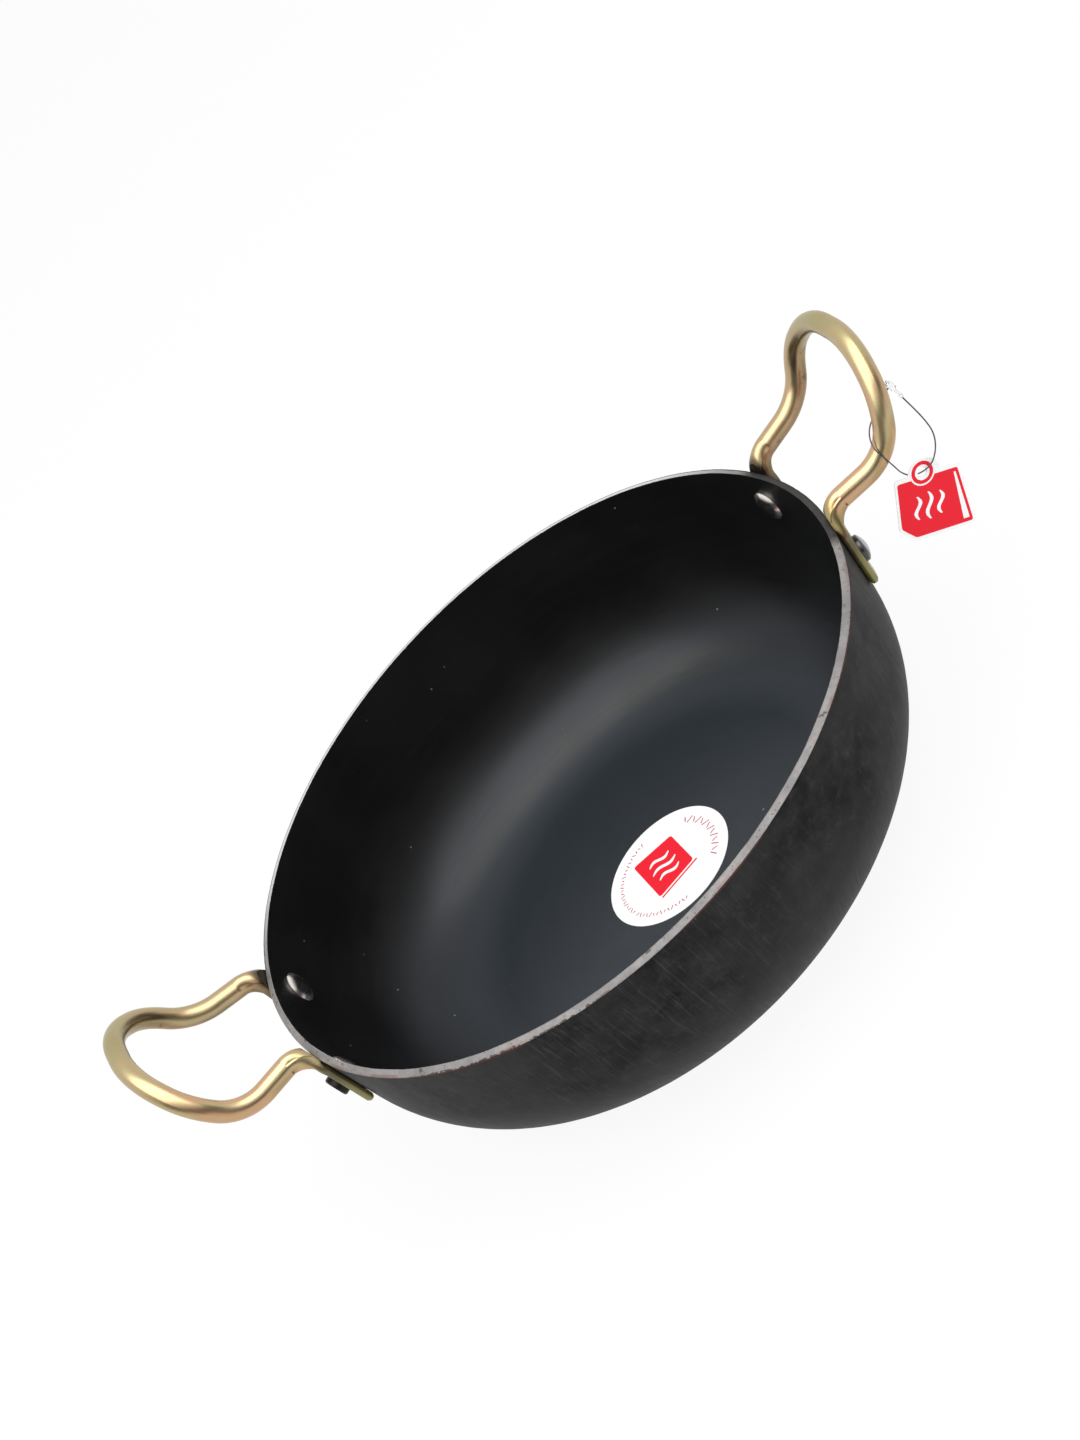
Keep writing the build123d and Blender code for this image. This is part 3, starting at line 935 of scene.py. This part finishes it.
def addTagPrint(s):
    # both faces are printed; x runs along the card's width and y up it
    tilt = Matrix.Rotation(radians(s["tilt"]), 4, "Y") @ Matrix.Rotation(pi / 2, 4, "X")
    toCard = Matrix.Translation(s["hole"]) @ tilt
    sides = {"Front": Matrix.Translation((0, 0, s["thickness"] / 2)),
             "Back": Matrix.Translation((0, 0, -s["thickness"] / 2)) @ Matrix.Scale(-1, 4, (0, 0, 1))}
    for name, side in sides.items():
        panel = addShape(scaled(s["panel"]), s["corner"])
        groundRing = addRing(s["ringMiddle"], *s["groundRing"])
        ground = joined([addWaves(s), addShape(scaled(s["stripe"])), groundRing])
        ring = addRing(s["ringMiddle"], *s["redRing"])
        layers = ((panel, "Panel", printRed), (ground, "White", tagCard), (ring, "Ring", printRed))
        for layer, (piece, kind, finish) in enumerate(layers):
            printed(piece, s["ink"], layer, toCard @ side, finish)
            if name == "Back":
                piece.data.flip_normals()
            finishPiece(piece, "tag" + kind + name, "tag_card")


addTagPrint(tagSet)
print("label and tag are printed")

# Thread of the hang tag: a loop from the lock, through the card and round the rod
threadSet = {
    "diameter": 0.5 * mm,
    "length": 0.0804,
    "dark": (0.035, 0.035, 0.04, 1),
    "light": (0.085, 0.085, 0.09, 1),
    "roughness": 0.4,
    "twist": (1800, 2),
    "twistSpan": (0.35, 0.65),
    "route": [
        (166.3, -28.9, 88.9), (166.7, -29.6, 83.6), (166.9, -30.4, 77.8), (166.3, -31.5, 72.2),
        (162.8, -33.4, 68.1), (157.6, -34.6, 65.8), (151.8, -31.0, 65.7), (149.5, -31.8, 70.6),
        (148.6, -35.8, 76.4), (147.8, -37.5, 81.8), (147.3, -34.5, 86.9), (150.6, -28.9, 88.9),
        (155.6, -26.7, 90.4), (160.6, -26.8, 93.2), (165.2, -28.3, 94.7),
    ],
}


def addThread(t):
    line = bpy.data.curves.new("tagLoopThread", "CURVE")
    line.dimensions = "3D"
    spline = line.splines.new("NURBS")
    spline.points.add(len(t["route"]) - 1)
    for point, place in zip(spline.points, t["route"]):
        point.co = (*(Vector(place) * mm), 1)
    spline.order_u = 3
    spline.use_endpoint_u = True
    spline.resolution_u = 12
    line.bevel_depth = t["diameter"] / 2
    line.bevel_resolution = 3
    line.use_fill_caps = True
    thread = bpy.data.objects.new("tagLoopThread", line)
    bpy.context.scene.collection.objects.link(thread)
    finish, tree, shader = newMaterial("darkThread", {"Roughness": t["roughness"]})
    twist = cloud(tree, add(tree, "TexCoord").outputs["Object"], *t["twist"])
    shade = blend(tree, ramp(tree, twist, *t["twistSpan"]), t["dark"], t["light"])
    drive(tree, shader, {"Base Color": shade})
    line.materials.append(finish)
    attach(thread, "tag_loop")
    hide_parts("tag_thread")
    return thread


thread = addThread(threadSet)

lockLook = {"Base Color": (0.93, 0.94, 0.95, 1), "Roughness": 0.12, "IOR": 1.49, "Transmission Weight": 0.9}
dress("tag_lock", newMaterial("clearPlastic", lockLook)[0])
print("thread and lock are made")

# Floor and studio light
stageSet = {
    "floorSize": 12.0,
    "floorColour": (0.95, 0.95, 0.95, 1),
    "floorRoughness": 0.9,
    "floorGlow": 0.92,
    "white": (1, 1, 1, 1),
    "worldLevel": 0.44,
    "roomRadius": 2.2,
    "roomHeight": 1.25,
    "roomHalfTurn": 80.0,
    "roomColour": (1, 0.97, 0.93, 1),
    "roomLevel": 0.18,
}


def seenRays(tree):
    rays = add(tree, "LightPath").outputs
    mirrored = calc(tree, "MAXIMUM", rays["Is Glossy Ray"], rays["Is Transmission Ray"])
    return calc(tree, "MAXIMUM", rays["Is Camera Ray"], mirrored)


def addFloor(s):
    bpy.ops.mesh.primitive_plane_add(size=s["floorSize"], location=(0, 0, 0))
    floor = bpy.context.object
    floor.name = "studioFloor"
    made, tree, shader = newMaterial("paleFloor", {
        "Base Color": s["floorColour"], "Roughness": s["floorRoughness"], "Specular IOR Level": 0.0})
    glow = add(tree, "Emission", {"Color": s["white"], "Strength": 1.0}).outputs[0]
    share = times(tree, seenRays(tree), s["floorGlow"])
    both = add(tree, "MixShader", {0: share, 1: shader.outputs[0], 2: glow}).outputs[0]
    tree.links.new(both, tree.nodes["Material Output"].inputs[0])
    floor.data.materials.append(made)


def addWorld(s):
    world = bpy.data.worlds.new("studio")
    bpy.context.scene.world = world
    world.use_nodes = True
    tree = world.node_tree
    sky = tree.nodes["Background"]
    sky.inputs["Color"].default_value = s["white"]
    level = ramp(tree, seenRays(tree), 0.0, 1.0, s["worldLevel"], 1.0)
    tree.links.new(level, sky.inputs["Strength"])


def addDarkRoom(s):
    # the dim room behind the photographer, which only the bright metal mirrors
    bpy.ops.mesh.primitive_cylinder_add(vertices=96, radius=s["roomRadius"], depth=s["roomHeight"],
                                        end_fill_type="NOTHING", location=(0, 0, s["roomHeight"] / 2))
    room = bpy.context.object
    room.name = "dimRoom"
    bpy.ops.object.mode_set(mode="EDIT")
    bpy.ops.mesh.select_all(action="SELECT")
    bpy.ops.mesh.bisect(plane_co=(0, s["roomRadius"] * -cos(radians(s["roomHalfTurn"])), 0),
                        plane_no=(0, 1, 0), clear_outer=True)
    bpy.ops.object.mode_set(mode="OBJECT")
    made, tree, shader = newMaterial("dimRoom", {})
    dim = add(tree, "Emission", {"Color": s["roomColour"], "Strength": s["roomLevel"]}).outputs[0]
    tree.links.new(dim, tree.nodes["Material Output"].inputs[0])
    room.data.materials.append(made)
    room.visible_camera = False
    room.visible_diffuse = False
    room.visible_shadow = False
    room.visible_transmission = False


lamps = [
    {"name": "softboxAbove", "place": (0.0, -0.28, 1.5), "aim": (0, 0, 0.03), "size": (2.7, 1.45),
     "power": 30, "mirrored": True},
    {"name": "frontFill", "place": (1.4, -1.75, 0.8), "aim": (0, 0, 0.05), "size": (1.2, 1.0),
     "power": 7.5, "mirrored": False},
]


def addLamp(lamp):
    bpy.ops.object.light_add(type="AREA", location=lamp["place"])
    light = bpy.context.object
    light.name = lamp["name"]
    light.data.shape = "RECTANGLE"
    light.data.size, light.data.size_y = lamp["size"]
    light.data.energy = lamp["power"]
    light.visible_glossy = lamp["mirrored"]
    aim = Vector(lamp["aim"]) - Vector(lamp["place"])
    light.rotation_euler = aim.to_track_quat("-Z", "Y").to_euler()


addFloor(stageSet)
addWorld(stageSet)
addDarkRoom(stageSet)
for lamp in lamps:
    addLamp(lamp)
bpy.context.scene.view_settings.view_transform = "Standard"
print("stage and light are set")
